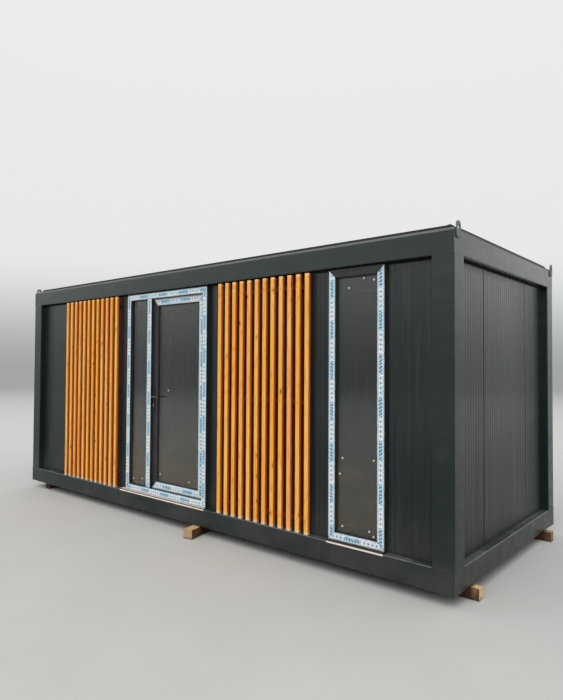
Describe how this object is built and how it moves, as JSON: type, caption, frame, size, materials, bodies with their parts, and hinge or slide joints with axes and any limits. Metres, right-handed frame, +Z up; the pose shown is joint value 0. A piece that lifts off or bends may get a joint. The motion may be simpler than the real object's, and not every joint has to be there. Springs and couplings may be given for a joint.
{
  "type": "container cabin",
  "caption": "Steel-framed container cabin on timber blocks, with flush sandwich walls, timber slat screens, a glazed door with a side light, and a fixed window.",
  "frame": {"origin": "on the ground below the centre of the steel frame", "axes": "+X along the long side, towards the end with the window; -Y out of the door side; +Z up"},
  "size_m": [6.076, 2.7212, 2.6969],
  "materials": {
    "frame_steel": "anthracite paint, semi-matt, dusty",
    "panel_steel": "anthracite coated steel faces, finely ribbed",
    "roof_steel": "coated steel, matt",
    "joist_steel": "grey primed steel",
    "floor_board": "coated plywood",
    "sill_metal": "folded strip with a pale protective film",
    "slat_timber": "honey-coloured stain, planed, with knots",
    "block_timber": "rough sawn, weathered",
    "window_profile": "dark grained profile, partly under a patterned film",
    "glazing": "clear sealed double pane",
    "handle_metal": "dark coated",
    "lock_metal": "dark plates with a bright cylinder",
    "hinge_metal": "dark coated"
  },
  "bodies": {
    "cabin": {"bottom_rail_front": "frame_steel", "bottom_rail_back": "frame_steel", "bottom_rail_left": "frame_steel", "bottom_rail_right": "frame_steel", "top_rail_front": "frame_steel", "top_rail_back": "frame_steel", "top_rail_left": "frame_steel", "top_rail_right": "frame_steel", "corner_post_front_left": "frame_steel", "corner_post_front_right": "frame_steel", "corner_post_back_left": "frame_steel", "corner_post_back_right": "frame_steel", "lifting_lugs_left": "frame_steel", "lifting_lugs_right": "frame_steel", "front_wall_left": "panel_steel", "front_wall_middle": "panel_steel", "front_wall_right": "panel_steel", "back_wall": "panel_steel", "end_wall_left": "panel_steel", "end_wall_right": "panel_steel", "ceiling_panel": "panel_steel", "head_packers": "panel_steel", "roof_sheet": "roof_steel", "roof_trim": "roof_steel", "floor_joists": "joist_steel", "floor_deck": "floor_board", "sills": "sill_metal", "slats_left": "slat_timber", "slats_right": "slat_timber", "slat_battens": "slat_timber", "support_blocks": "block_timber", "door_frame_head": "window_profile", "door_frame_threshold": "window_profile", "door_frame_left_jamb": "window_profile", "door_frame_right_jamb": "window_profile", "door_frame_mullion": "window_profile", "window_frame": "window_profile", "fixed_panes": "glazing", "hinge_frame_halves": "hinge_metal"},
    "door": {"door_leaf": "window_profile", "door_pane": "glazing", "lock_plates": "lock_metal", "hinge_leaf_halves": "hinge_metal"},
    "handle": {"door_handle": "handle_metal"}
  },
  "joints": [
    {"name": "door_swing", "type": "hinge", "parent": "cabin", "child": "door", "pos_m": [0.405, -1.0697, 1.36], "axis": [0, 0, -1], "range_deg": [0, 100]},
    {"name": "handle_turn", "type": "hinge", "parent": "door", "child": "handle", "pos_m": [-0.405, -1.1137, 1.322], "axis": [0, 1, 0], "range_deg": [0, 45], "stiffness_Nm_per_rad": 3, "springref_deg": -17.19}
  ]
}
